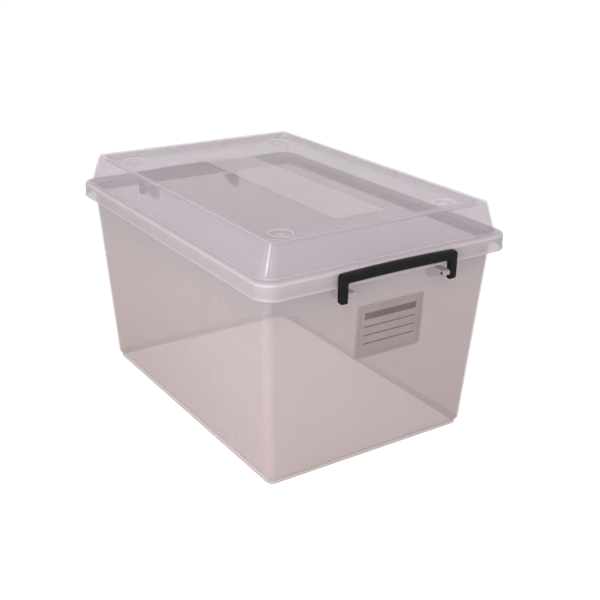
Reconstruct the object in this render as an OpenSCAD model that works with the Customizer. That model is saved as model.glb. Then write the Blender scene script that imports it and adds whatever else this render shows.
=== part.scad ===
// File box: a clear moulded tub with a domed, lift-off lid, held shut by a
// swing-over clip handle at each end. Millimetres, +Z up, long axis on X.
// The origin is the centre of the face that the box stands on.

/* [Tub] */
// Height of the tub, from the table to the top of its rim
tub_h = 291; // [255:1:340]
// Lean of the tub's walls, in degrees
draft = 3.7; // [3:0.1:5]
// Thickness of the tub's walls
tub_wall = 2.2; // [1.6:0.1:3]
// Thickness of the tub's floor
floor_t = 2.6; // [2:0.1:4]
// Corner radius at the tub's mouth, seen from above
tub_corner = 13; // [10:1:20]
// Corner radius at the bottom of the tub's walls, seen from above
base_corner = 11; // [9:1:16]
// Height of the stepped foot that nests in a lid below
foot_h = 4.5; // [3:0.5:6]
// How far the foot is set in from the walls
foot_in = 4.4; // [3.5:0.1:7]
// Height of the flare between the foot and the walls
flare_h = 6; // [4:0.5:9]
// Width of the rim past the wall, at the ends
rim_end = 13.9; // [12:0.1:18]
// Width of the rim past the wall, at the sides
rim_side = 7.9; // [6:0.1:12]
// Thickness of the rim
rim_t = 2.4; // [2:0.1:3]
// Depth of the rim's turned-down lip
rim_lip = 9; // [6:0.5:14]

/* [Lid] */
// Length over the lid's lower bead
lid_l = 550; // [480:1:620]
// Width over the lid's lower bead
lid_w = 387; // [320:1:440]
// Corner radius of the lid, seen from above
lid_corner = 27; // [24:1:36]
// Thickness of the lid
lid_wall = 2.2; // [1.6:0.1:2.8]
// Depth of the skirt below the tub's rim
skirt_h = 20; // [16:0.5:22]
// Rounding along the top of the skirt
shoulder_r = 4; // [3:0.5:5]
// How far the bead stands out from the skirt
bead_out = 0.8; // [0.4:0.1:1.2]
// Height of the bead
bead_h = 3.6; // [2:0.2:5]
// Height of the dome over the flange
dome_h = 41.6; // [30:0.2:60]
// Width of the flange outside the dome, at the ends
ledge_end = 12.9; // [10:0.1:18]
// Width of the flange outside the dome, at the sides
ledge_side = 8.1; // [7:0.1:10]
// How far the dome's ends lean in
lean_end = 9.2; // [4:0.1:14]
// How far the dome's sides lean in
lean_side = 14.5; // [8:0.1:15]
// Corner radius at the dome's foot, seen from above
dome_corner = 21; // [18:1:28]
// Corner radius at the dome's top, seen from above
dome_top_corner = 9; // [8:0.5:18]
// Rounding along the dome's top edge
dome_edge_r = 3; // [2:0.5:4]
// Depth of the panel below the dome's border
recess_h = 6.5; // [4:0.5:9]

/* [Panel] */
// Diameter of the ring round each dish
dish_d = 30; // [24:1:40]
// Distance from a dish's centre to the panel's end
dish_in_end = 30; // [24:0.5:36]
// Distance from a dish's centre to the panel's side
dish_in_side = 35; // [24:0.5:38]
// How far each dish sinks below the panel
dish_deep = 1.6; // [0.8:0.1:2.4]
// Height and half width of the ring round each dish
dish_ring = 0.7; // [0.4:0.1:1]
// Diameter of the pip at a dish's centre
pip_d = 3.4; // [2:0.1:5]
// Length of the frosted strip along the panel
strip_l = 392; // [300:1:400]
// Width of the frosted strip
strip_w = 77; // [50:1:90]
// Height of the frosted strip
strip_t = 0.4; // [0.2:0.1:0.8]

/* [Clips] */
// Width of a clip handle
clip_w = 181; // [150:1:220]
// Width of each leg, along the box's end
leg_w = 10.5; // [8:0.5:14]
// Depth of a clip, out from the box's end
clip_d = 8; // [7:0.5:11]
// Height of the bar, at its ends
bar_h = 11.5; // [9:0.5:13]
// How far the bar's ends lie below the tub's rim
bar_below = 1.2; // [1:0.1:3]
// Radius of the bar's outer corners
bar_corner = 4.5; // [2:0.5:6]
// Roll along the front of the bar's top
bar_roll = 4.8; // [3:0.2:6]
// Rounding at the back of each leg's foot
foot_round = 3.6; // [2:0.2:4]
// Rounding at each side of a leg's foot
foot_side_round = 3.5; // [2:0.5:4]
// How much the bar's top bows up at its middle
bar_crown = 2; // [0.5:0.5:4]
// How far the legs reach below the lid's skirt
leg_drop = 19; // [18:0.5:24]
// Radius of the pins at the legs' feet
pin_r = 2.2; // [1.8:0.1:2.6]
// Length of each pin
pin_l = 11; // [8:0.5:14]
// How far the pins are above the legs' feet
pin_up = 9.5; // [8:0.5:10.5]
// How far the pins are in front of the clip's back
pin_out = 3.9; // [3.5:0.1:4.2]
// Wall of the lug round a pin
lug_wall = 1.8; // [1.4:0.1:2.4]
// How far a lug's root reaches down the wall from its pin
lug_root = 12; // [8:0.5:20]

/* [Label] */
// Length of the label along the box's end
label_l = 106; // [60:1:120]
// Height of the label
label_h = 75; // [40:1:90]
// How far the label is off the middle of the end
label_aside = 12; // [-20:1:20]
// Gap between the label's top edge and the lid's skirt
label_below = 42; // [32:1:60]
// Thickness of the label
label_t = 0.2; // [0.1:0.1:0.4]

/* [Clearances] */
// Gap between the tub's rim and the inside of the skirt
rim_gap = 1.5; // [0.8:0.1:2.5]
// Gap between a clip and the lid's bead
clip_gap = 0.4; // [0.3:0.1:1]
// Gap between a leg and its lug
lug_gap = 0.4; // [0.3:0.1:0.8]
// Radial clearance of a pin in its lug
pin_play = 0.05; // [0.02:0.01:0.08]
// Room round a foot that stands in a lid's recess
stack_gap = 5; // [3:0.5:5.5]
// Thickness of the glue under the label
label_glue = 0.05; // [0.05:0.05:0.2]

/* [Hidden] */
$fn = 48;
over = 1;           // how far a cutter runs past what it cuts
arc_steps = 6;      // flats along a small rounding
corner_steps = 8;   // flats round a corner of a loft
edge_turn = 22.5;   // turn between the rings along a rounded edge, in degrees
bow_flats = 1440;   // flats round the circles that bow the bar

// Lid, from the outside in
skirt_low = tub_h - skirt_h;
skirt_l = lid_l - 2 * bead_out;
skirt_w = lid_w - 2 * bead_out;
lid_in_l = skirt_l - 2 * lid_wall;
lid_in_w = skirt_w - 2 * lid_wall;
lid_in_corner = lid_corner - bead_out - lid_wall;
flange_top = tub_h + lid_wall;
dome_l = lid_l - 2 * ledge_end;
dome_w = lid_w - 2 * ledge_side;
top_l = dome_l - 2 * lean_end;
top_w = dome_w - 2 * lean_side;
lid_top = flange_top + dome_h;
panel_z = lid_top - recess_h;

// Tub, from the rim down
rim_l = lid_in_l - 2 * rim_gap;
rim_w = lid_in_w - 2 * rim_gap;
rim_corner = lid_in_corner - rim_gap;
mouth_l = rim_l - 2 * rim_end;
mouth_w = rim_w - 2 * rim_side;
wall_low = foot_h + flare_h;
wall_run = tub_h - wall_low;
base_l = mouth_l - 2 * wall_run * tan(draft);
base_w = mouth_w - 2 * wall_run * tan(draft);
foot_l = base_l - 2 * foot_in;
foot_w = base_w - 2 * foot_in;
foot_corner = base_corner - foot_in / 2;
function wall_x(z) = base_l / 2 + (z - wall_low) * tan(draft);

// Recess that takes the foot of a box above
recess_l = foot_l + 2 * stack_gap;
recess_w = foot_w + 2 * stack_gap;
recess_corner = foot_corner + stack_gap / 2;
dish_x = recess_l / 2 - dish_in_end;
dish_y = recess_w / 2 - dish_in_side;

// Clips
clip_back_x = lid_l / 2 + clip_gap;
clip_front_x = clip_back_x + clip_d;
leg_low = skirt_low - leg_drop;
bar_top = tub_h - bar_below;
bar_low = bar_top - bar_h;
bar_under_crown = bar_crown / 2;
leg_in = clip_w / 2 - leg_w;
window_r = bar_corner / 2;
roll_end = 60;      // how far the bar's top is rolled over, in degrees
hinge_x = clip_back_x + pin_out;
hinge_z = leg_low + pin_up;
lug_r = pin_r + lug_wall;
lug_out = leg_in - lug_gap;
lug_tangent = 55;   // where the underside of a lug leaves its round nose

// Points of an arc, for outlines
function arc(x, y, r, from, to) =
    [for (i = [0 : arc_steps]) let (a = from + (to - from) * i / arc_steps)
        [x + r * cos(a), y + r * sin(a)]];

// A rectangle with round corners, centred
module rounded(l, w, r) {
    square([l - 2 * r, w], center = true);
    square([l, w - 2 * r], center = true);
    for (x = [-1, 1], y = [-1, 1])
        translate([x * (l / 2 - r), y * (w / 2 - r)])
            circle(r);
}

// A plate with round corners that stands on z
module plate(l, w, r, z, h) {
    translate([0, 0, z])
        linear_extrude(h)
            rounded(l, w, r);
}

// The outline of a round-cornered rectangle at height z, as one ring of a loft
function ring(l, w, r, z) =
    [for (q = [0 : 3], i = [0 : corner_steps])
        let (a = 90 * (q + i / corner_steps), x = q == 0 || q == 3 ? 1 : -1, y = q < 2 ? 1 : -1)
            [x * (l / 2 - r) + r * cos(a), y * (w / 2 - r) + r * sin(a), z]];

// A closed solid through rings of equal count, from the lowest up
module loft(rings) {
    n = len(rings[0]);
    last = len(rings) - 1;
    polyhedron(
        points = [for (one = rings) each one],
        faces = concat(
            [[for (i = [0 : n - 1]) i]],
            [for (k = [0 : last - 1], i = [0 : n - 1])
                let (j = (i + 1) % n)
                    [k * n + i, (k + 1) * n + i, (k + 1) * n + j, k * n + j]],
            [[for (i = [n - 1 : -1 : 0]) last * n + i]]));
}

// The tub's outline from foot to mouth, t larger all round
module tub_body(t, low, high) {
    foot_top = foot_h + low / 2;
    wall_foot = wall_low + low / 2;
    mouth_t = t + (high - tub_h) * tan(draft);
    loft([
        ring(foot_l + 2 * t, foot_w + 2 * t, foot_corner + t, low),
        ring(foot_l + 2 * t, foot_w + 2 * t, foot_corner + t, foot_top),
        ring(base_l + 2 * t, base_w + 2 * t, base_corner + t, wall_foot),
        ring(mouth_l + 2 * mouth_t, mouth_w + 2 * mouth_t, tub_corner + t, high)]);
}

// The lug that carries one pin, as a gusset out from the end wall
module lug() {
    root_x = wall_x(hinge_z - lug_root) - tub_wall / 2;
    translate([0, lug_out, 0])
        rotate([90, 0, 0])
            linear_extrude(pin_l) {
                translate([hinge_x, hinge_z])
                    circle(lug_r);
                polygon([
                    [root_x, hinge_z - lug_root],
                    [hinge_x + lug_r * cos(lug_tangent), hinge_z - lug_r * sin(lug_tangent)],
                    [hinge_x, hinge_z + lug_r],
                    [root_x, hinge_z + lug_r]]);
            }
}

module pin_bore() {
    translate([hinge_x, lug_out + over, hinge_z])
        rotate([90, 0, 0])
            cylinder(r = pin_r + pin_play, h = pin_l + 2 * over);
}

// Both ends of a thing that is drawn for the front half of the front end
module at_lugs() {
    for (turn = [0, 180], side = [0, 1])
        rotate([0, 0, turn])
            mirror([0, side, 0])
                children();
}

module tub() {
    color([0.80, 0.75, 0.75, 0.6])
    difference() {
        union() {
            tub_body(0, 0, tub_h - rim_t / 2);
            plate(rim_l, rim_w, rim_corner, tub_h - rim_t, rim_t);
            difference() {
                plate(rim_l, rim_w, rim_corner, tub_h - rim_lip, rim_lip - rim_t / 2);
                plate(rim_l - 2 * rim_t, rim_w - 2 * rim_t, rim_corner - rim_t,
                    tub_h - rim_lip - over, rim_lip + over);
            }
            at_lugs() lug();
        }
        tub_body(-tub_wall, floor_t, tub_h + over);
        at_lugs() pin_bore();
    }
}

// A ring and a shallow dish with a pip, as a closed profile turned about Z
module dish() {
    r = dish_d / 2;
    rotate_extrude()
        polygon(concat(
            [[0, -dish_deep - lid_wall], [r - dish_ring, -dish_deep - lid_wall],
                [r + lid_wall, -lid_wall], [r + lid_wall, 0]],
            arc(r, 0, dish_ring, 0, 180),
            [[r - 3 * dish_ring, -dish_deep], [pip_d / 2, -dish_deep],
                [pip_d / 2 - dish_ring / 2, -dish_deep + dish_ring], [0, -dish_deep + dish_ring]]));
}

module at_dishes() {
    for (x = [-1, 1], y = [-1, 1])
        translate([x * dish_x, y * dish_y, panel_z])
            children();
}

// The skirt and flange as one solid, with the shoulder rounded over
module skirt_solid() {
    loft(concat(
        [ring(skirt_l, skirt_w, lid_corner - bead_out, skirt_low)],
        [for (a = [0 : edge_turn : 90])
            let (inset = shoulder_r * (1 - cos(a)))
                ring(skirt_l - 2 * inset, skirt_w - 2 * inset, lid_corner - bead_out - inset,
                    flange_top - shoulder_r * (1 - sin(a)))]));
    plate(lid_l, lid_w, lid_corner, skirt_low, bead_h);
}

// The dome as one solid, t smaller all round
module dome_solid(t) {
    edge_r = dome_edge_r - t / 2;
    foot_z = flange_top - lid_wall / 2 - t;
    loft(concat(
        [ring(dome_l - 2 * t, dome_w - 2 * t, dome_corner - t, foot_z)],
        [for (a = [0 : edge_turn : 90])
            let (inset = t + edge_r * (1 - cos(a)))
                ring(top_l - 2 * inset, top_w - 2 * inset, dome_top_corner - inset,
                    lid_top - t - edge_r * (1 - sin(a)))]));
}

module lid() {
    color([0.78, 0.75, 0.78, 0.5]) {
        difference() {
            union() {
                skirt_solid();
                dome_solid(0);
            }
            plate(lid_in_l, lid_in_w, lid_in_corner, skirt_low - over, skirt_h + over);
            difference() {
                dome_solid(lid_wall);
                plate(recess_l + 2 * lid_wall, recess_w + 2 * lid_wall, recess_corner + lid_wall,
                    panel_z - lid_wall, recess_h + lid_wall);
            }
            plate(recess_l, recess_w, recess_corner, panel_z, recess_h + over);
            at_dishes()
                translate([0, 0, -lid_wall - over])
                    cylinder(d = dish_d, h = lid_wall + 2 * over);
        }
        at_dishes() dish();
        translate([0, 0, panel_z + strip_t / 2])
            cube([strip_l, strip_w, strip_t], center = true);
    }
}

// A clip seen from the end of the box: a crowned bar on two legs
module clip_front_view() {
    bow = (pow(clip_w / 2, 2) + pow(bar_crown, 2)) / (2 * bar_crown);
    under = (pow(leg_in, 2) + pow(bar_under_crown, 2)) / (2 * bar_under_crown);
    top = bar_top + bar_crown;
    tall = top - leg_low;
    difference() {
        intersection() {
            translate([0, leg_low + tall])
                rounded(clip_w, 2 * tall, foot_side_round);
            translate([0, leg_low])
                rounded(clip_w, 2 * tall, bar_corner + bar_crown);
            translate([0, top - bow])
                circle(bow, $fn = bow_flats);
        }
        intersection() {
            translate([0, (bar_low + bar_under_crown + leg_low) / 2 - over])
                rounded(2 * leg_in, bar_low + bar_under_crown - leg_low + 2 * over, window_r);
            translate([0, bar_low + bar_under_crown - under])
                circle(under, $fn = bow_flats);
        }
    }
}

// A clip seen from the side: flat at the back, rolled over at the top and round at the foot
module clip_side_view() {
    front_round = foot_round / 2;
    top = bar_top + bar_crown + over;
    roll_z = bar_top - bar_roll / 2;
    polygon(concat(
        [[clip_back_x, top], [clip_back_x, leg_low + foot_round]],
        arc(clip_back_x + foot_round, leg_low + foot_round, foot_round, 180, 270),
        arc(clip_front_x - front_round, leg_low + front_round, front_round, 270, 360),
        arc(clip_front_x - bar_roll, roll_z, bar_roll, 0, roll_end),
        [[clip_back_x + bar_roll / 4, top]]));
}

module pin() {
    translate([hinge_x, leg_in + leg_w / 2, hinge_z])
        rotate([90, 0, 0])
            cylinder(r = pin_r, h = leg_w / 2 + lug_gap + pin_l);
}

module clip() {
    color([0.07, 0.07, 0.08]) {
        intersection() {
            translate([clip_back_x - over, 0, 0])
                rotate([90, 0, 90])
                    linear_extrude(clip_d + 2 * over)
                        clip_front_view();
            translate([0, clip_w / 2 + over, 0])
                rotate([90, 0, 0])
                    linear_extrude(clip_w + 2 * over)
                        clip_side_view();
        }
        for (side = [0, 1])
            mirror([0, side, 0])
                pin();
    }
}

module front_clip() {
    clip();
}

module back_clip() {
    rotate([0, 0, 180])
        clip();
}

module end_label() {
    middle_z = skirt_low - label_below - label_h / 2;
    color([0.86, 0.83, 0.82, 0.8])
    translate([wall_x(middle_z), label_aside, middle_z])
        rotate([0, draft, 0])
            translate([label_glue + label_t / 2, 0, 0])
                cube([label_t, label_l, label_h], center = true);
}

tub();
lid();
front_clip();
back_clip();
end_label();
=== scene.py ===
from math import cos, pi, radians, sin, sqrt, tan

import bmesh
import bpy
from mathutils import Matrix, Vector
from mathutils.geometry import delaunay_2d_cdt


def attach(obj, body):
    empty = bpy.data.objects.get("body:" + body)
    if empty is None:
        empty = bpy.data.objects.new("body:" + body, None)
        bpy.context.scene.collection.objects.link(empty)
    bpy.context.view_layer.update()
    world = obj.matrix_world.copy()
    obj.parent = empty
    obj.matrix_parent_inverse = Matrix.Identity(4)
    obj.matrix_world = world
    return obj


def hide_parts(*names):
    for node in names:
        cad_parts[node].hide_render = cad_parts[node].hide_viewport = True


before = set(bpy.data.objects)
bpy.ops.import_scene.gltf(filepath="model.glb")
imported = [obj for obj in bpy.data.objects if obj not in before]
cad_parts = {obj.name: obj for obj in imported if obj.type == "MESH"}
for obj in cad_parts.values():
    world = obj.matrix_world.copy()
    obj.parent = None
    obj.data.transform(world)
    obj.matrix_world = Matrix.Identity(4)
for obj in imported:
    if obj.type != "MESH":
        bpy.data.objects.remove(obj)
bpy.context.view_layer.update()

mm = 0.001
scene = bpy.context.scene
scene.view_settings.view_transform = "Standard"
scene.cycles.transparent_max_bounces = 48    # a ray through the whole box meets many thin faces

print("file box: frame loaded,", len(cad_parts), "pieces")


# Shader maths: one wrapped socket, so that 1 - mask * 0.2 adds its own nodes

class Wire:
    def __init__(self, tree, socket=None):
        self.tree = tree
        self.socket = socket

    def node(self, kind, settings=None, values=None, out=0):
        made = self.tree.nodes.new(kind)
        for name, value in (settings or {}).items():
            setattr(made, name, value)
        for name, value in (values or {}).items():
            if isinstance(value, Wire):
                self.tree.links.new(value.socket, made.inputs[name])
            else:
                made.inputs[name].default_value = value
        return Wire(self.tree, made.outputs[out])

    def maths(self, operation, first, second):
        return self.node("ShaderNodeMath", {"operation": operation}, {0: first, 1: second})

    def __add__(self, other):
        return self.maths("ADD", self, other)

    def __radd__(self, other):
        return self.maths("ADD", other, self)

    def __sub__(self, other):
        return self.maths("SUBTRACT", self, other)

    def __rsub__(self, other):
        return self.maths("SUBTRACT", other, self)

    def __mul__(self, other):
        return self.maths("MULTIPLY", self, other)

    def __rmul__(self, other):
        return self.maths("MULTIPLY", other, self)

    def __truediv__(self, other):
        return self.maths("DIVIDE", self, other)

    def __rtruediv__(self, other):
        return self.maths("DIVIDE", other, self)

    def least(self, other):
        return self.maths("MINIMUM", self, other)

    def most(self, other):
        return self.maths("MAXIMUM", self, other)

    def away(self, middle):
        return self.node("ShaderNodeMath", {"operation": "ABSOLUTE"}, {0: self - middle})

    def ramp(self, low, high, start=0.0, end=1.0):
        return self.node("ShaderNodeMapRange", {"interpolation_type": "SMOOTHSTEP"},
                         {"Value": self, "From Min": low, "From Max": high, "To Min": start, "To Max": end})

    def blend(self, first, second):
        made = self.node("ShaderNodeMix", {"data_type": "RGBA"}, {"Factor": self}, out=2)
        for place, shade in ((6, first), (7, second)):      # the mix's two colour sockets
            socket = made.socket.node.inputs[place]
            if isinstance(shade, Wire):
                self.tree.links.new(shade.socket, socket)
            else:
                socket.default_value = (*shade, 1)
        return made


def newFinish(name):
    finish = bpy.data.materials.new(name)
    finish.use_nodes = True
    tree = finish.node_tree
    shader = next(one for one in tree.nodes if one.type == "BSDF_PRINCIPLED")
    start = Wire(tree)
    place = start.node("ShaderNodeTexCoord", out=3)       # object places: the frame's own metres
    return finish, shader, start, place


def speckle(start, place, scale, detail=2.0, rough=0.5, stretch=None):
    if stretch:
        place = start.node("ShaderNodeMapping", None, {"Vector": place, "Scale": stretch})
    return start.node("ShaderNodeTexNoise", None,
                      {"Vector": place, "Scale": scale, "Detail": detail, "Roughness": rough})


def feed(shader, name, value):
    if isinstance(value, Wire):
        value.tree.links.new(value.socket, shader.inputs[name])
    else:
        shader.inputs[name].default_value = value


def bumped(start, height, strength, distance):
    return start.node("ShaderNodeBump", None,
                      {"Height": height, "Strength": strength, "Distance": distance})


# Clear polypropylene: milky, a little pink, with a soft gloss, moulding mottle and fine scuffs

mouldedSkin = {
    "cloudier": 0.03,
    "scuffed": 0.10,
    "peel": 0.012,
    "ior": 1.49,
    "mostCover": 0.96,
    "flowScale": 14.0,
    "flowStretch": (0.35, 0.35, 1.6),
    "waver": 0.02,               # metres by which a change of colour wanders up and down
    "scuffScale": 420.0,
    "scuffStretch": (0.4, 1.0, 2.0),
    "peelScale": 110.0,
    "grainScale": 1500.0,
    "reliefDepth": 0.0006,
}
tubPlastic = {
    **mouldedSkin,
    "name": "clearTub",
    "shade": (0.77, 0.61, 0.60),
    "deepShade": (0.75, 0.595, 0.585),
    "cover": 0.38,               # how much one face of a wall covers
    "paintedHighlightShade": (0.86, 0.76, 0.76),
    "edgeCover": 0.35,
    "upperPaintedShade": (0.54, 0.475, 0.495),
    "upperPaintedFrom": (0.20, 0.27),     # height where the wall passes into a painted shade under the rim
    "footShade": (0.73, 0.565, 0.555),
    "footFrom": (0.05, 0.19),
    "gloss": 0.17,
    "mottle": 5.0,
}
# painted shade: the inner faces are a darker copy of the tub's plastic, for the shade inside the box; near
# the rim they turn lighter again, a painted light that eases the band seen through the lid
tubInsideShaded = {
    **tubPlastic,
    "name": "clearTubInsidePaintedShade",
    "cover": 0.52,
    "shade": (0.33, 0.28, 0.295),
    "deepShade": (0.31, 0.265, 0.28),
    "upperPaintedShade": (0.48, 0.42, 0.44),
    "footShade": (0.36, 0.295, 0.30),
}
# painted light: the floor's faces are a lighter, clearer copy of the plastic, so the lit floor shows against
# the shaded walls
tubFloorLit = {**tubPlastic, "name": "clearTubFloorPaintedLight", "cover": 0.22, "footShade": (0.86, 0.72, 0.71)}
tubFoot = {**tubPlastic, "name": "clearTubFoot", "cover": 0.70, "footShade": (0.60, 0.47, 0.46)}
# painted light: the rim is a clearer copy whose colour turns lighter above the wall, to ease the dark band it
# makes under the lid
tubRimLit = {**tubPlastic, "name": "clearTubRimPaintedLight", "cover": 0.20, "upperPaintedShade": (0.88, 0.76, 0.78)}
# painted shade: the lugs are a darker, more covering copy of the tub's plastic, so their lit faces look as
# dim as the wall beside them
lugPlasticShaded = {
    **tubPlastic,
    "name": "clearLugsPaintedShade",
    "cover": 0.72,
    "shade": (0.50, 0.43, 0.45),
    "deepShade": (0.48, 0.41, 0.43),
    "upperPaintedShade": (0.50, 0.43, 0.45),
}
lidPlastic = {
    **mouldedSkin,
    "name": "clearLid",
    "shade": (0.67, 0.55, 0.63),
    "deepShade": (0.64, 0.53, 0.615),
    "cover": 0.31,
    "paintedHighlightShade": (0.95, 0.88, 0.91),
    "edgeCover": 0.40,
    "upperPaintedShade": (0.67, 0.55, 0.63),
    "upperPaintedFrom": (0.5, 0.6),
    # painted shade: the skirt below the flange takes this darker colour
    "footShade": (0.49, 0.425, 0.455),
    "footFrom": (0.2890, 0.2915),
    "footCover": 0.34,           # the skirt doubles up with the tub's rim, so it covers more
    "gloss": 0.13,
    "mottle": 6.0,
}
# painted shade: the lid's underside is a darker copy of its plastic; inside the skirt it turns lighter, a
# painted light that eases the skirt's band seen through the dome
lidInsideShaded = {
    **lidPlastic,
    "name": "clearLidInsidePaintedShade",
    "shade": (0.44, 0.36, 0.42),
    "deepShade": (0.41, 0.34, 0.405),
    "upperPaintedShade": (0.44, 0.36, 0.42),
    "footShade": (0.64, 0.56, 0.60),
    "footCover": 0.12,
}
frostedPlastic = {
    **lidPlastic,
    "name": "frostedStrip",
    "shade": (0.77, 0.67, 0.695),
    "deepShade": (0.74, 0.645, 0.675),
    "cover": 0.62,
    "paintedHighlightShade": (0.80, 0.71, 0.74),
    "edgeCover": 0.1,
    "gloss": 0.50,
    "mottle": 14.0,
    "peel": 0.15,
}


def clearPlastic(look):
    finish, shader, start, place = newFinish(look["name"])
    split = start.node("ShaderNodeSeparateXYZ", None, {0: place})
    height = Wire(start.tree, split.socket.node.outputs[2])
    cloud = speckle(start, place, look["mottle"], detail=3.0, rough=0.55)
    flow = speckle(start, place, look["flowScale"], stretch=look["flowStretch"])
    scuffs = speckle(start, place, look["scuffScale"], detail=4.0, rough=0.6,
                     stretch=look["scuffStretch"]).ramp(0.58, 0.80)
    peel = speckle(start, place, look["peelScale"])
    grain = speckle(start, place, look["grainScale"])
    milk = (cloud * 0.65 + flow * 0.35).ramp(0.30, 0.70)
    # painted highlight: where the mesh carries it, the colour pales towards the highlight colour and the
    # cover grows a little
    edge = start.node("ShaderNodeAttribute", {"attribute_name": "paintedHighlight"}, out=2)
    wavy = height + (flow - 0.5) * look["waver"]
    # painted light and shade near the rim: above this height the colour turns darker on the tub's outer wall,
    # shaded by the rim and the lid's skirt, and lighter on the rim and the inner walls
    top = wavy.ramp(*look["upperPaintedFrom"])
    # below this height the colour passes into the low colour, a painted shade on the lid's skirt and a
    # painted light on the tub's floor and inside the lid's skirt
    foot = (height if "footCover" in look else wavy).ramp(*look["footFrom"], 1.0, 0.0)
    body = top.blend(milk.blend(look["deepShade"], look["shade"]), look["upperPaintedShade"])
    body = foot.blend(body, look["footShade"])
    feed(shader, "Base Color", edge.blend(body, look["paintedHighlightShade"]))
    feed(shader, "Roughness", look["gloss"] + scuffs * look["scuffed"] + cloud * 0.06)
    cover = look["cover"] + milk * look["cloudier"] + scuffs * 0.02 + edge * look["edgeCover"]
    feed(shader, "Alpha", (cover + foot * look.get("footCover", 0.0)).least(look["mostCover"]))
    relief = peel + grain * 0.02 + scuffs * 0.02
    feed(shader, "Normal", bumped(start, relief, look["peel"], look["reliefDepth"]))
    feed(shader, "IOR", look["ior"])
    return finish


# Black clips: moulded in a satin black with a fine spark-eroded grain, a little rubbed and scratched

clipPlastic = {
    "name": "blackClip",
    "shade": (0.006, 0.0055, 0.0065),
    "rubbed": (0.013, 0.012, 0.0135),
    "gloss": 0.38,
    "grain": 0.15,
    "shine": 0.15,
    "grainScale": 2600.0,
    "patchScale": 70.0,
    "scratchScale": 240.0,
    "scratchStretch": (1.0, 0.14, 1.0),
    "reliefDepth": 0.0002,
}


def blackPlastic(look):
    finish, shader, start, place = newFinish(look["name"])
    grain = speckle(start, place, look["grainScale"], rough=0.6)
    patches = speckle(start, place, look["patchScale"], detail=3.0, rough=0.6)
    scratches = speckle(start, place, look["scratchScale"], detail=4.0, rough=0.7,
                        stretch=look["scratchStretch"]).ramp(0.60, 0.72)
    rub = (patches.ramp(0.45, 0.75) * 0.6 + scratches * 0.4).least(1.0)
    feed(shader, "Base Color", rub.blend(look["shade"], look["rubbed"]))
    feed(shader, "Roughness", look["gloss"] + patches * 0.14 + scratches * 0.10)
    feed(shader, "Normal", bumped(start, grain + scratches * 0.3, look["grain"], look["reliefDepth"]))
    feed(shader, "Specular IOR Level", look["shine"])
    return finish


# The label: a pale film with a plain heading band, a frame and ruled lines to write on

labelFilm = {
    "name": "labelFilm",
    "paper": (0.41, 0.325, 0.32),
    "aged": (0.38, 0.30, 0.295),
    "ink": (0.07, 0.06, 0.06),
    "cover": 0.86,
    "rough": 0.62,
    "inkScale": 900.0,
    "fibreScale": 320.0,
    "fibreRelief": 0.15,
    "agedScale": 30.0,
    "reliefDepth": 0.0002,
}


def ruledFilm(look, size, turn):
    finish, shader, start, place = newFinish(look["name"])
    split = start.node("ShaderNodeSeparateXYZ", None, {0: place})
    across = Wire(start.tree, split.socket.node.outputs[1])
    up = Wire(start.tree, split.socket.node.outputs[2])
    across = (across - size["aside"] * mm) / (size["length"] / 2 * mm)       # -1 to 1 over the film
    up = (up - size["middle"] * mm) / (size["height"] / 2 * mm * cos(turn))
    inkNoise = speckle(start, place, look["inkScale"], detail=3.0, rough=0.6).ramp(0.30, 0.62, 0.45, 1.0)
    edge = across.away(0.0).most(up.away(0.0) + 0.03)
    line = edge.away(size["frameAt"]).ramp(0.006, 0.012, 0.45, 0.0)
    inside = across.away(0.0).ramp(*size["printReach"], 1.0, 0.0)
    for height in size["rules"]:
        line = line.most(up.away(height).ramp(0.018, 0.032, 1.0, 0.0) * inside)
    low, high = size["band"]
    band = up.away((low + high) / 2).ramp((high - low) / 2, (high - low) / 2 + 0.01, 1.0, 0.0) * inside
    printed = (line * 0.92).most(band * 0.92) * inkNoise
    fibres = speckle(start, place, look["fibreScale"], detail=4.0, rough=0.6)
    yellowing = speckle(start, place, look["agedScale"], detail=3.0, rough=0.6).ramp(0.35, 0.65)
    feed(shader, "Base Color", printed.blend(yellowing.blend(look["aged"], look["paper"]), look["ink"]))
    feed(shader, "Roughness", look["rough"] + fibres * 0.15)
    feed(shader, "Alpha", (look["cover"] + printed * 0.2).least(1.0))
    feed(shader, "Normal", bumped(start, fibres, look["fibreRelief"], look["reliefDepth"]))
    return finish


# Meshes: rings of round-cornered rectangles, turned profiles and flat caps with holes

# A new mesh whose corners carry a painted highlight: how much paler each corner is drawn along shoulders,
# edges and dish rings; the same amount adds a little cover where the plastic is thicker
def newMesh():
    mesh = bmesh.new()
    mesh.verts.layers.float.new("paintedHighlight")
    return mesh


# gives a run of rows its amount of painted highlight
def pale(rows, amount):
    return [(*row[:4], amount) for row in rows]


def roundedRing(mesh, row, steps):
    length, width, radius, z = row[:4]
    layer = mesh.verts.layers.float.get("paintedHighlight")
    ring = []
    for quarter, (sideX, sideY) in enumerate(((1, 1), (-1, 1), (-1, -1), (1, -1))):
        for step in range(steps + 1):
            turn = pi / 2 * (quarter + step / steps)
            x = sideX * (length / 2 - radius) + radius * cos(turn)
            y = sideY * (width / 2 - radius) + radius * sin(turn)
            corner = mesh.verts.new((x * mm, y * mm, z * mm))
            corner[layer] = row[4] if len(row) > 4 else 0.0
            ring.append(corner)
    return ring


def joinRings(mesh, first, second, closed=True, slotNumber=0):
    count = len(first)
    for i in range(count if closed else count - 1):
        j = (i + 1) % count
        corners = [first[i], first[j], second[j], second[i]]
        face = mesh.faces.new(corners)
        face.material_index = slotNumber


def skin(mesh, rows, steps, slotNumber=0):
    rings = [roundedRing(mesh, row, steps) for row in rows]
    for first, second in zip(rings, rings[1:]):
        joinRings(mesh, first, second, True, slotNumber)
    return rings


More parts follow.
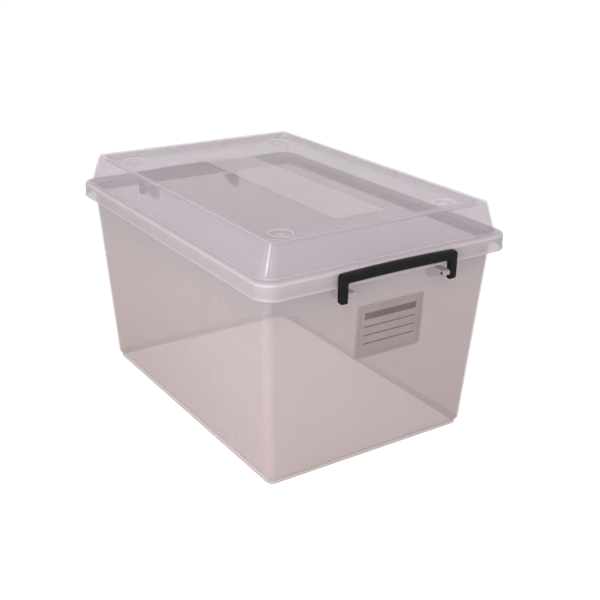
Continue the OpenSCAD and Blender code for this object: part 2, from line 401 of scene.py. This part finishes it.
def turned(mesh, profile, centre, segments, slotNumber=0, highlights=None):
    rings = []
    layer = mesh.verts.layers.float.get("paintedHighlight")
    for radius, z in profile:
        if radius == 0:
            rings.append([mesh.verts.new((centre[0] * mm, centre[1] * mm, z * mm))])
            continue
        rings.append([mesh.verts.new((*place, z * mm)) for place in circleLoop(centre, radius, segments)])
    for ring, amount in zip(rings, highlights or []):
        for corner in ring:
            corner[layer] = amount
    for first, second in zip(rings, rings[1:]):
        if len(second) == 1:
            for i in range(segments):
                mesh.faces.new([first[i], first[(i + 1) % segments], second[0]]).material_index = slotNumber
        else:
            joinRings(mesh, first, second, True, slotNumber)
    return rings


def inLoop(point, loop):
    inside = False
    for a, b in zip(loop, loop[1:] + loop[:1]):
        if (a[1] > point[1]) != (b[1] > point[1]):
            if point[0] < (b[0] - a[0]) * (point[1] - a[1]) / (b[1] - a[1]) + a[0]:
                inside = not inside
    return inside


# Fills the flat space between an outer loop and its holes; lay puts a flat point back in place
def flatFill(mesh, outer, holes, lay, slotNumber=0):
    loops = [outer] + holes
    points, edges = [], []
    for loop in loops:
        first = len(points)
        points += [Vector(p) for p in loop]
        edges += [(first + i, first + (i + 1) % len(loop)) for i in range(len(loop))]
    wholeHull, nearest = 0, 1e-7
    places, _, faces, _, _, _ = delaunay_2d_cdt(points, edges, [], wholeHull, nearest)
    made = [mesh.verts.new(lay(p)) for p in places]
    for face in faces:
        middle = sum((places[i] for i in face), Vector((0, 0))) / len(face)
        if inLoop(middle, outer) and not any(inLoop(middle, hole) for hole in holes):
            mesh.faces.new([made[i] for i in face]).material_index = slotNumber


def flatLoop(ring):
    return [(v.co.x, v.co.y) for v in ring]


def circleLoop(centre, radius, segments):
    return [((centre[0] + radius * cos(2 * pi * i / segments)) * mm,
             (centre[1] + radius * sin(2 * pi * i / segments)) * mm) for i in range(segments)]


def inset(base, by, z):
    length, width, radius = base
    return (length - 2 * by, width - 2 * by, radius - by, z)


# Points of a rounding in (inset, z), from one angle to another
def rounding(middle, radius, start, end, steps):
    return [(middle[0] + radius * cos(radians(start + (end - start) * i / steps)),
             middle[1] + radius * sin(radians(start + (end - start) * i / steps))) for i in range(steps + 1)]


def finishPiece(name, mesh, finishes, body, nodes, crease=32):
    bmesh.ops.remove_doubles(mesh, verts=mesh.verts, dist=2e-6)
    bmesh.ops.recalc_face_normals(mesh, faces=mesh.faces)
    for face in mesh.faces:
        face.smooth = True
    for edge in mesh.edges:
        edge.smooth = len(edge.link_faces) == 2 and edge.calc_face_angle(0) < radians(crease)
    loose = sum(1 for edge in mesh.edges if len(edge.link_faces) != 2)
    data = bpy.data.meshes.new(name)
    mesh.to_mesh(data)
    mesh.free()
    piece = bpy.data.objects.new(name, data)
    scene.collection.objects.link(piece)
    for finish in finishes:
        data.materials.append(finish)
    weights = piece.modifiers.new("faceWeights", "WEIGHTED_NORMAL")
    weights.keep_sharp = True
    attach(piece, body)
    if nodes:
        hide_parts(*nodes)
    print("file box:", name, len(data.polygons), "faces,", loose, "open edges")
    return piece


# Tub

tubSize = {
    "foot": (468.1, 317.1, 8.8),       # length, width, corner radius
    "base": (476.9, 325.9, 11.0),
    "mouthCorner": 13.0,
    "rim": (541.0, 378.0, 22.5),
    "footTop": 4.5,
    "wallLow": 10.5,
    "top": 291.0,
    "wall": 2.2,
    "floor": 2.6,
    "rimThick": 2.4,
    "lip": 9.0,
    "cornerSteps": 16,
    "edge": 1.0,                       # rounding along the rim and the mouth
    # profiles: (inset, height), or over the foot's step (share of the way out, share of the way up)
    "footEdge": ((0.9, 0.0), (0.55, 0.07), (0.26, 0.26), (0.07, 0.55), (0.0, 0.9)),
    "footSide": ((0.0, 3.7), (-0.1, 4.25), (-0.5, 4.75)),
    "step": ((0.14, 0.11), (0.5, 0.45), (0.80, 0.74), (0.91, 0.88), (0.975, 1.02), (0.998, 1.22)),
    "wallHeights": (12.6, 60.0, 140.0, 220.0, 286.6),
    "flare": ((-0.15, 287.8), (-0.6, 288.4)),
    "flareEnd": -1.4,
    # with heights down from the rim's underside, and down from its top
    "lipFillet": ((0.8, 0.0), (0.2, 0.25), (0.0, 0.9)),
    "mouthEdge": ((-1.0, 0.0), (-0.55, 0.1), (-0.2, 0.4), (0.0, 1.0)),
    # down the inside, from the mouth to the floor
    "insideHeights": (220.0, 140.0, 60.0, 14.0),
    "insideStepLow": 5.8,
    "insideStep": ((0.985, 1.1), (0.93, 0.95), (0.80, 0.78), (0.35, 0.33), (0.13, 0.1)),
    "floorCurve": ((0.2, 5.6), (0.25, 4.8), (0.45, 4.0), (0.9, 3.3), (1.6, 2.8)),
    "floorCurveEnd": 2.6,
}
lean = radians(3.7)


def wallRow(z, inward=0.0):
    run = (z - tubSize["wallLow"]) * tan(lean)
    length, width, radius = tubSize["base"]
    rise = tubSize["top"] - tubSize["wallLow"]
    radius += (tubSize["mouthCorner"] - radius) * (z - tubSize["wallLow"]) / rise
    return (length + 2 * (run - inward), width + 2 * (run - inward), radius - inward, z)


def wallX(z):
    return tubSize["base"][0] / 2 + (z - tubSize["wallLow"]) * tan(lean)


def blendRow(first, second, share, z, out=0.0):
    size = [a + (b - a) * share for a, b in zip(first, second)]
    return (size[0] + 2 * out, size[1] + 2 * out, size[2] + out, z)


def makeTub():
    size = tubSize
    foot, base, rim, top = size["foot"], size["base"], size["rim"], size["top"]
    thick, lipIn, edge = size["wall"], size["rimThick"], size["edge"]
    stepRise = size["wallLow"] - size["footTop"]
    # the amounts given to the rows below paint faint highlights along the foot, lip, rim and mouth
    rows = pale([inset(foot, a, z) for a, z in size["footEdge"]], 0.02)
    rows += [inset(foot, a, z) for a, z in size["footSide"]]
    rows += [blendRow(foot, base, share, size["footTop"] + stepRise * up) for share, up in size["step"]]
    footRows = len(rows) - 3           # the step's upper rows take the wall's finish
    rows += [wallRow(z) for z in size["wallHeights"]]
    wallRows = len(rows)
    under = top - size["rimThick"]
    rows += [wallRow(z, a) for a, z in size["flare"]]
    rows += [wallRow(under, size["flareEnd"])]
    rows += [inset(rim, lipIn + a, under - down) for a, down in size["lipFillet"]]
    lipLow, lipHalf = top - size["lip"], lipIn / 2
    rows += pale([inset(rim, a, z) for a, z in
                  rounding((lipHalf, lipLow + lipHalf), lipHalf, 0, -180, 6)], 0.1)
    rows += pale([inset(rim, a, z) for a, z in rounding((edge, top - edge), edge, 180, 90, 4)], 0.1)
    rows += pale([wallRow(top - down, thick + a) for a, down in size["mouthEdge"]], 0.15)
    inner = [wallRow(z, thick) for z in (top - edge, *size["insideHeights"])]
    inner += [blendRow(foot, base, share, size["insideStepLow"] + stepRise * up, -thick)
              for share, up in size["insideStep"]]
    inner += [inset(foot, thick + a, z) for a, z in size["floorCurve"]]
    inner += [inset(foot, thick + size["floorCurveEnd"], size["floor"])]
    mesh = newMesh()
    wallSlot, insideSlot, floorSlot, footSlot, rimSlot = range(5)
    outside = skin(mesh, rows[:footRows], size["cornerSteps"], footSlot)
    skin(mesh, rows[footRows - 1:wallRows], size["cornerSteps"], wallSlot)
    skin(mesh, rows[wallRows - 1:], size["cornerSteps"], rimSlot)
    inside = skin(mesh, inner, size["cornerSteps"], insideSlot)
    mesh.faces.new(list(reversed(outside[0]))).material_index = floorSlot
    mesh.faces.new(inside[-1]).material_index = floorSlot
    looks = (tubPlastic, tubInsideShaded, tubFloorLit, tubFoot, tubRimLit)
    finishPiece("tub_shell", mesh, [clearPlastic(look) for look in looks], "tub_body", ["tub"])


# Lugs: gussets out from the end walls, bored for the clips' pins

lugSize = {
    "hinge": (279.3, 261.5),
    "nose": 4.0,
    "bore": 2.25,
    "root": 12.0,
    "tangent": 55,
    "near": 68.6,
    "far": 79.6,
    "edge": 0.5,
    "edgeMiddle": 0.15,
    "sunk": 1.1,             # how far the root reaches into the wall
    "segments": 28,
}


def shrunk(points, by):
    moved = []
    count = len(points)
    for i in range(count):
        before, here, after = (Vector(points[(i + k) % count]) for k in (-1, 0, 1))
        first, second = (here - before).normalized(), (after - here).normalized()
        normal = Vector((-(first + second).y, (first + second).x)).normalized()
        stretch = max(normal.dot(Vector((-first.y, first.x))), 0.5)
        moved.append(here + normal * by / stretch)
    return moved


def makeLugs():
    size = lugSize
    hingeX, hingeZ = size["hinge"]
    rootZ, topZ, sunk = hingeZ - size["root"], hingeZ + size["nose"], size["sunk"]
    nose = rounding((hingeX, hingeZ), size["nose"], -size["tangent"], 90, 14)
    outline = [(wallX(rootZ) - sunk, rootZ)] + nose + [(wallX(topZ) - sunk, topZ)]
    turns = [2 * pi * i / size["segments"] for i in range(size["segments"])]
    hole = [(hingeX + size["bore"] * cos(turn), hingeZ + size["bore"] * sin(turn)) for turn in turns]
    mesh = newMesh()
    for end in (1, -1):
        for side in (1, -1):
            def lay(point, y):
                return (end * point[0] * mm, side * y * mm, point[1] * mm)
            near, far, edge, middle = size["near"], size["far"], size["edge"], size["edgeMiddle"]
            slices = [(near, edge), (near + middle, middle), (near + edge, 0.0),
                      (far - edge, 0.0), (far - middle, middle), (far, edge)]
            rings = []
            for y, by in slices:
                points = shrunk(outline, by)
                points[0] = Vector((outline[0][0], outline[0][1] + by))
                points[-1] = Vector((outline[-1][0], outline[-1][1] - by))
                rings.append([mesh.verts.new(lay(p, y)) for p in points])
            for first, second in zip(rings, rings[1:]):
                joinRings(mesh, first, second, closed=False)
            bore = [[mesh.verts.new(lay(p, y)) for p in hole] for y in (near, far)]
            joinRings(mesh, bore[0], bore[1])
            for ring, y in ((rings[0], near), (rings[-1], far)):
                flat = [(abs(v.co.x), v.co.z) for v in ring]
                flatFill(mesh, flat, [[(p[0] * mm, p[1] * mm) for p in hole]],
                         lambda p, y=y: (end * p[0], side * y * mm, p[1]))
    finishPiece("tub_lugs", mesh, [clearPlastic(lugPlasticShaded)], "tub_body", [])


# Lid

lidSize = {
    "bead": (550.0, 387.0, 27.0),
    "domeBase": (524.2, 370.8, 21.0),
    "domeTop": (505.8, 341.8, 9.0),
    "recess": (478.1, 327.1, 11.3),
    "low": 271.0,
    "flangeTop": 293.2,
    "top": 334.8,
    "panel": 328.3,
    "wall": 2.2,
    "shoulder": 4.0,
    "dishes": (209.05, 128.55),
    "dishRadius": 15.0,
    "dishDeep": 1.6,
    "dishRing": 0.7,
    "pip": 1.7,
    "strip": (392.0, 77.0, 1.5),
    "stripHeight": 0.4,
    "cornerSteps": 16,
    "dishSegments": 56,
    "skirtIn": 0.8,
    "topEdge": 3.0,
    "topEdgeInside": 1.9,
    # painted highlight along the rounded top edge of the dome
    "topEdgePaintedHighlight": (0.0, 0.0, 0.05, 0.25, 0.5, 0.5, 0.2, 0.05),
    # profiles as (inset, height), with heights up from the skirt's lower edge
    "beadEdge": ((1.1, 0.0), (0.6, 0.08), (0.2, 0.35), (0.0, 0.9)),
    "beadSide": ((0.0, 2.3), (0.12, 2.9)),
    "skirtFoot": ((0.38, 3.35), (0.66, 3.8), (0.8, 4.5), (0.8, 8.0)),
    "skirtInside": ((3.0, 6.0), (3.0, 1.0), (2.6, 0.3), (2.1, 0.0)),
    # with heights up from the flange
    "domeFillet": ((-1.0, 0.14), (-0.4, 0.5), (-0.05, 1.1)),
    "domeHeights": (2.2, 12.0, 24.0),
    # with heights down from the top of the border
    "recessEdge": ((-2.2, 0.0), (-1.4, 0.12), (-0.7, 0.5), (-0.2, 1.2)),
    # with heights up from the panel
    "recessFoot": ((0.55, 0.8), (1.0, 0.25), (1.8, 0.0)),
    "recessUnder": ((2.6, 0.0), (1.5, 0.2), (0.6, 0.9), (0.1, 2.1)),
    # painted glints on each dish's ring and pip
    "dishPaintedGlints": (0.0, 0.5, 1.0, 1.0, 1.0, 0.6, 0.3, 0.15, 0.1, 0.1, 0.1, 0.4, 0.8, 1.0, 1.0, 1.0),
}


def domeRow(z, inward=0.0):
    size = lidSize
    share = (z - size["flangeTop"]) / (size["top"] - size["topEdge"] - size["flangeTop"])
    return blendRow(size["domeBase"], size["domeTop"], share, z, -inward)


def makeLid():
    size = lidSize
    bead, base, top, recess = size["bead"], size["domeBase"], size["domeTop"], size["recess"]
    low, flange, panel, high = size["low"], size["flangeTop"], size["panel"], size["top"]
    thick, shoulder, edge, skirtIn = size["wall"], size["shoulder"], size["topEdge"], size["skirtIn"]
    # the amounts given to these rows paint highlights along the bead, the shoulder, the flange and the dome's
    # foot
    rows = pale([inset(bead, a, low + z) for a, z in size["beadEdge"]], 0.28)
    rows += pale([inset(bead, a, low + z) for a, z in size["beadSide"]], 0.15)
    rows += pale([inset(bead, a, low + z) for a, z in size["skirtFoot"]], 0.06)
    rows += pale([inset(bead, skirtIn, flange - shoulder)], 0.15)
    rows += pale([inset(bead, skirtIn + shoulder - a, z) for a, z in
                  rounding((0.0, flange - shoulder), shoulder, 0, 90, 8)[1:]], 0.5)
    rows += pale([inset(base, -1.9, flange)], 0.45)
    rows += pale([inset(base, a, flange + z) for a, z in size["domeFillet"]], 0.3)
    rows += [domeRow(flange + z) for z in size["domeHeights"]]
    rows += [domeRow(high - 4.4)]
    rows += [(*inset(top, edge - a, z), amount) for (a, z), amount in
             zip(rounding((0.0, high - edge), edge, 18, 90, 7), size["topEdgePaintedHighlight"])]
    rows += pale([inset(recess, a, high - down) for a, down in size["recessEdge"]], 0.1)
    rows += pale([inset(recess, 0.05, high - 2.0), inset(recess, 0.3, panel + 1.7)], 0.05)
    rows += [inset(recess, a, panel + z) for a, z in size["recessFoot"]]
    mesh = newMesh()
    outside = skin(mesh, rows, size["cornerSteps"])
    layer, steps = mesh.verts.layers.float.get("paintedHighlight"), size["cornerSteps"]
    for ring in outside:
        if flange + 8.0 < ring[0].co.z / mm < high - 2.0:      # the dome's corners catch a thin line of light
            for quarter in range(4):
                ring[quarter * (steps + 1) + steps // 2][layer] = 0.9
    below = [inset(recess, -thick + a, panel + z - thick) for a, z in size["recessUnder"]]
    below += [inset(recess, -thick - a, high - thick - z) for a, z in ((0.0, 1.2), (0.3, 0.35), (1.2, 0.0))]
    edgeInside, under = size["topEdgeInside"], flange - thick
    below += [inset(top, thick + edgeInside - a, z) for a, z in
              rounding((0.0, high - thick - edgeInside), edgeInside, 90, 18, 5)]
    below += [domeRow(z, thick) for z in (high - 8.0, flange + 20.0, flange + 2.0)]
    below += [inset(base, thick - a, under + z) for a, z in ((0.1, 1.6), (0.6, 0.4), (1.6, 0.0))]
    below += [inset(bead, 3.0 + a, under - down) for a, down in ((1.8, 0.0), (0.6, 0.3), (0.0, 1.6))]
    below += [inset(bead, a, low + z) for a, z in size["skirtInside"]]
    insideSlot, frostedSlot = 1, 2
    inside = skin(mesh, below, size["cornerSteps"], insideSlot)
    joinRings(mesh, inside[-1], outside[0])
    centres = [(x * size["dishes"][0], y * size["dishes"][1]) for x in (1, -1) for y in (1, -1)]
    segments, ring, reach = size["dishSegments"], size["dishRing"], size["dishRadius"] + size["dishRing"]
    dishLoops = [circleLoop(centre, reach, segments) for centre in centres]
    length, width, corner = size["strip"]
    stripRows = [(length - by, width - by, corner, panel + z)
                 for by, z in ((0.0, 0.0), (0.1, 0.3), (0.5, size["stripHeight"]))]
    strip = skin(mesh, stripRows, 4, frostedSlot)
    flatFill(mesh, flatLoop(outside[-1]), dishLoops + [flatLoop(strip[0])],
             lambda p: (p[0], p[1], panel * mm))
    mesh.faces.new(strip[2]).material_index = frostedSlot
    flatFill(mesh, flatLoop(inside[0]), dishLoops, lambda p: (p[0], p[1], (panel - thick) * mm), insideSlot)
    deep, radius, pip = size["dishDeep"], size["dishRadius"], size["pip"]
    floorZ, underZ = panel - deep, panel - thick - deep
    profile = rounding((radius, panel), ring, 0, 180, 6)
    profile += [(radius - 1.6 * ring, panel - 0.35), (radius - 3 * ring, panel - deep * 0.82),
                (radius - 4.2 * ring, floorZ)]
    profile += [(pip + 2.4, floorZ), (pip + 0.8, floorZ + 0.1), (pip, floorZ + 0.5),
                (pip - 0.5, floorZ + 0.95), (pip * 0.4, floorZ + 1.1), (0, floorZ + 1.05)]
    lower = [(reach, panel - thick), (radius - 0.3, panel - thick - 0.3), (radius - 1.8, underZ + 0.2),
             (radius - 2.6, underZ), (4.0, underZ), (0, underZ)]
    for centre in centres:
        turned(mesh, profile, centre, segments, 0, size["dishPaintedGlints"])
        turned(mesh, lower, centre, segments, insideSlot)
    looks = (lidPlastic, lidInsideShaded, frostedPlastic)
    finishPiece("lid_shell", mesh, [clearPlastic(look) for look in looks], "lid_body", ["lid"])


# Clips

clipSize = {
    "halfWidth": 90.5,
    "legIn": 80.0,
    "back": 275.4,
    "front": 283.4,
    "low": 252.0,
    "barTop": 289.8,
    "barLow": 278.3,
    "crown": 2.0,
    "roll": 4.8,
    "outerCorner": 4.5,
    "footSide": 3.5,
    "footInner": 0.8,
    "windowCorner": 2.25,
    "footBack": 3.6,
    "footFront": 1.8,
    "edge": 0.8,
    "pin": 2.2,
    "pinEnd": 68.7,
    "pinSegments": 28,
    "rollLift": 0.25,
    "rollHalfway": 4.16,     # height of the roll over its middle where the flat top meets it
    "topSlope": 0.40,
    "slices": (0.0, 0.06, 0.25, 0.5, 0.8, 1.3, 2.0, 2.8, 3.6, 4.4, 5.0, 5.6, 6.2, 6.65, 7.05, 7.35, 7.6,
               7.8, 7.93, 8.0),
}


def clipOutline(size):
    half, inner, low, crown = size["halfWidth"], size["legIn"], size["low"], size["crown"]
    top, under = size["barTop"] + crown, size["barLow"] + crown / 2

    def topAt(y):
        return top - crown * (y / half) ** 2

    def underAt(y):
        return under - crown / 2 * (y / inner) ** 2

    foot, side = size["footInner"], size["footSide"]
    corner, window = size["outerCorner"], size["windowCorner"]
    right = rounding((inner + foot, low + foot), foot, 180, 270, 3)
    right += rounding((half - side, low + side), side, 270, 360, 7)
    right += rounding((half - corner, topAt(half - corner) - corner), corner, 0, 87, 10)
    across = [(y, topAt(y)) for y in (66, 44, 22)]
    left = [(-y, z) for y, z in reversed(right)]
    down = [(-y, z) for y, z in reversed(across)]
    windowRight = rounding((inner - window, underAt(inner - window) - window), window, 90, 0, 6)
    below = [(y, underAt(y)) for y in (-66, -44, -22, 0, 22, 44, 66)]
    windowLeft = [(-y, z) for y, z in reversed(windowRight)]
    return right + across + [(0, top)] + down + left + windowLeft + below + windowRight


def makeClip(name, node, body, way, finish):
    size = clipSize
    back, front, low = size["back"], size["front"], size["low"]
    top = size["barTop"] + size["crown"]
    roll, lift = size["roll"], size["rollLift"]
    rollZ = size["barTop"] - roll / 2
    outline = clipOutline(size)

    def topLimit(x):
        reach = x - (front - roll)
        if reach > roll / 2:
            return rollZ + sqrt(max(roll ** 2 - reach ** 2, 0.0)) + lift
        return min(top, rollZ + size["rollHalfway"] + lift + (roll / 2 - reach) * size["topSlope"])

    def lowLimit(x):
        b, f = size["footBack"], size["footFront"]
        if x < back + b:
            return low + b - sqrt(max(b ** 2 - (back + b - x) ** 2, 0.0))
        if x > front - f:
            return low + f - sqrt(max(f ** 2 - (x - front + f) ** 2, 0.0))
        return low

    def edgeInset(x):
        reach = min(x - back, front - x)
        edge = size["edge"]
        return edge - sqrt(edge ** 2 - (edge - reach) ** 2) if reach < edge else 0.0

    mesh = bmesh.new()
    rings = []
    footHigh = low + size["footBack"]
    for depth in size["slices"]:
        x = back + depth
        ring = []
        for y, z in shrunk(outline, edgeInset(x)):
            if z > rollZ:
                z = rollZ + (z - rollZ) * (topLimit(x) - rollZ) / (top - rollZ)
            if z < footHigh and abs(y) > size["legIn"] - 0.1:
                z = footHigh - (footHigh - z) * (footHigh - lowLimit(x)) / (footHigh - low)
            ring.append(mesh.verts.new((way * x * mm, way * y * mm, z * mm)))
        rings.append(ring)
    for first, second in zip(rings, rings[1:]):
        joinRings(mesh, first, second)
    for ring in (rings[0], rings[-1]):
        x = ring[0].co.x
        flatFill(mesh, [(v.co.y, v.co.z) for v in ring], [], lambda p, x=x: (x, p[0], p[1]))
    hingeX, hingeZ = lugSize["hinge"]
    radius, leg, end, segments = size["pin"], size["legIn"], size["pinEnd"], size["pinSegments"]
    turns = [2 * pi * i / segments for i in range(segments)]
    rows = [(leg + 1.5, radius + 0.5), (leg + 0.6, radius + 0.5), (leg + 0.1, radius + 0.1),
            (leg - 0.2, radius), (end + 0.6, radius), (end + 0.2, radius - 0.2), (end, radius - 0.6)]
    for side in (1, -1):
        pinRings = [[mesh.verts.new((way * (hingeX + reach * cos(turn)) * mm, side * y * mm,
                                     (hingeZ + reach * sin(turn)) * mm)) for turn in turns]
                    for y, reach in rows]
        for first, second in zip(pinRings, pinRings[1:]):
            joinRings(mesh, first, second)
        mesh.faces.new(pinRings[0])
        mesh.faces.new(pinRings[-1])
    finishPiece(name, mesh, [finish], body, [node], crease=40)


# Label

labelSize = {
    "length": 106.0,
    "height": 75.0,
    "aside": 12.0,
    "middle": 191.5,
    "thick": 0.2,
    "corner": 2.5,
    "rules": (0.18, -0.14, -0.46),     # places of the ruled lines, from -1 at the bottom to 1 at the top
    "band": (0.46, 0.70),
    "frameAt": 0.90,
    "printReach": (0.78, 0.79),
    "cornerSteps": 6,
    "glueGap": 0.03,
    "edge": 0.05,
}


def makeLabel():
    size = labelSize
    place = Matrix.Translation((wallX(size["middle"]) * mm, size["aside"] * mm, size["middle"] * mm))
    place = place @ Matrix.Rotation(lean, 4, "Y")
    mesh = newMesh()
    rings = []
    length, height, corner = size["length"], size["height"], size["corner"]
    edge, thick = size["edge"], size["thick"]
    for by, out in ((0.0, size["glueGap"]), (0.0, thick - edge), (edge, thick)):
        ring = roundedRing(mesh, (length - 2 * by, height - 2 * by, corner, out), size["cornerSteps"])
        for v in ring:
            v.co = place @ Vector((v.co.z, v.co.x, v.co.y))
        rings.append(ring)
    for first, second in zip(rings, rings[1:]):
        joinRings(mesh, first, second)
    mesh.faces.new(rings[-1])
    mesh.faces.new(list(reversed(rings[0])))
    film = ruledFilm(labelFilm, size, lean)
    finishPiece("end_label_film", mesh, [film], "tub_body", ["end_label"])


makeTub()
makeLugs()
makeLid()
black = blackPlastic(clipPlastic)
makeClip("front_clip_handle", "front_clip", "front_clip_body", 1, black)
makeClip("back_clip_handle", "back_clip", "back_clip_body", -1, black)
makeLabel()


# Camera, as the photograph was taken

cameraSet = {
    "azimuth": 56.407,
    "elevation": 21.918,
    "roll": 0.777,
    "place": (1.1494, -0.7241, 0.6905),
    "focal": 977.6 / 600.0,        # focal length over the picture's width
    "sensor": 36.0,
    "nearest": 0.01,
}


def makeCamera():
    azimuth, elevation, roll = (radians(cameraSet[k]) for k in ("azimuth", "elevation", "roll"))
    back = Vector((sin(azimuth) * cos(elevation), -cos(azimuth) * cos(elevation), sin(elevation)))
    right = (-back).cross(Vector((0, 0, 1))).normalized()
    up = right.cross(-back)
    turnedRight = right * cos(roll) + up * sin(roll)
    turnedUp = up * cos(roll) - right * sin(roll)
    lens = bpy.data.cameras.new("camera")
    lens.sensor_width = cameraSet["sensor"]
    lens.lens = cameraSet["sensor"] * cameraSet["focal"]
    lens.clip_start = cameraSet["nearest"]
    eye = bpy.data.objects.new("camera", lens)
    eye.matrix_world = Matrix.Translation(cameraSet["place"]) @ Matrix(
        (turnedRight, turnedUp, back)).transposed().to_4x4()
    scene.collection.objects.link(eye)
    scene.camera = eye


makeCamera()


# Floor, white surroundings and soft lamps

studio = {
    "floorShade": (0.86, 0.855, 0.85),
    "floorGlow": 0.60,
    "floorReach": 6.0,
    "floorHeight": -0.0004,
    "floorMottle": 3.0,
    "floorShading": 0.99,          # how much darker the floor's mottle gets
    "sky": 0.55,
    "lamps": {
        "top": {"place": (0.15, -0.10, 1.9), "aim": (0.0, 0.0, 0.2), "size": (0.9, 0.9), "power": 3.5},
        "key": {"place": (1.5, -1.1, 1.7), "aim": (0.0, 0.0, 0.2), "size": (0.45, 0.45), "power": 5.0},
        "near": {"place": (1.0, -1.3, 0.40), "aim": (0.1, -0.1, 0.12), "size": (0.45, 0.45), "power": 7.0},
        "left": {"place": (0.1, -2.3, 0.9), "aim": (0.0, 0.0, 0.15), "size": (2.4, 1.4), "power": 12.5},
        "right": {"place": (2.4, -0.1, 0.9), "aim": (0.0, 0.0, 0.15), "size": (2.4, 1.4), "power": 9.5},
    },
}


def seenWhite(start):
    path = start.node("ShaderNodeLightPath")
    outputs = path.socket.node.outputs
    seen = Wire(start.tree, outputs["Is Camera Ray"])
    for name in ("Is Glossy Ray", "Is Transmission Ray"):
        seen = seen.most(Wire(start.tree, outputs[name]))
    return seen


def makeStudio():
    mesh = bmesh.new()
    bmesh.ops.create_grid(mesh, x_segments=2, y_segments=2, size=studio["floorReach"])
    data = bpy.data.meshes.new("floor")
    mesh.to_mesh(data)
    mesh.free()
    floor = bpy.data.objects.new("floor", data)
    floor.location.z = studio["floorHeight"]
    scene.collection.objects.link(floor)
    finish, shader, start, place = newFinish("paleFloor")
    mottle = speckle(start, place, studio["floorMottle"], detail=3.0)
    shade = studio["floorShade"]
    darker = tuple(studio["floorShading"] * c for c in shade)
    feed(shader, "Base Color", mottle.ramp(0.3, 0.7).blend(shade, darker))
    feed(shader, "Roughness", 0.9)
    feed(shader, "Specular IOR Level", 0.0)
    seen = Wire(start.tree, start.node("ShaderNodeLightPath").socket.node.outputs["Is Camera Ray"])
    feed(shader, "Emission Color", seen.blend((0, 0, 0), (1, 1, 1)))
    feed(shader, "Emission Strength", studio["floorGlow"])
    data.materials.append(finish)
    world = bpy.data.worlds.new("surroundings")
    world.use_nodes = True
    tree = world.node_tree
    background = next(one for one in tree.nodes if one.type == "BACKGROUND")
    background.inputs["Color"].default_value = (1, 1, 1, 1)
    start = Wire(tree)
    seen = seenWhite(start)
    strength = seen * (1 - studio["sky"]) + studio["sky"]
    tree.links.new(strength.socket, background.inputs["Strength"])
    scene.world = world
    for name, lamp in studio["lamps"].items():
        light = bpy.data.lights.new(name, "AREA")
        light.shape = "RECTANGLE"
        light.size, light.size_y = lamp["size"]
        light.energy = lamp["power"]
        thing = bpy.data.objects.new(name, light)
        thing.location = lamp["place"]
        aim = Vector(lamp["aim"]) - Vector(lamp["place"])
        thing.rotation_euler = aim.to_track_quat("-Z", "Y").to_euler()
        scene.collection.objects.link(thing)


makeStudio()
print("file box: floor, lamps and camera set")
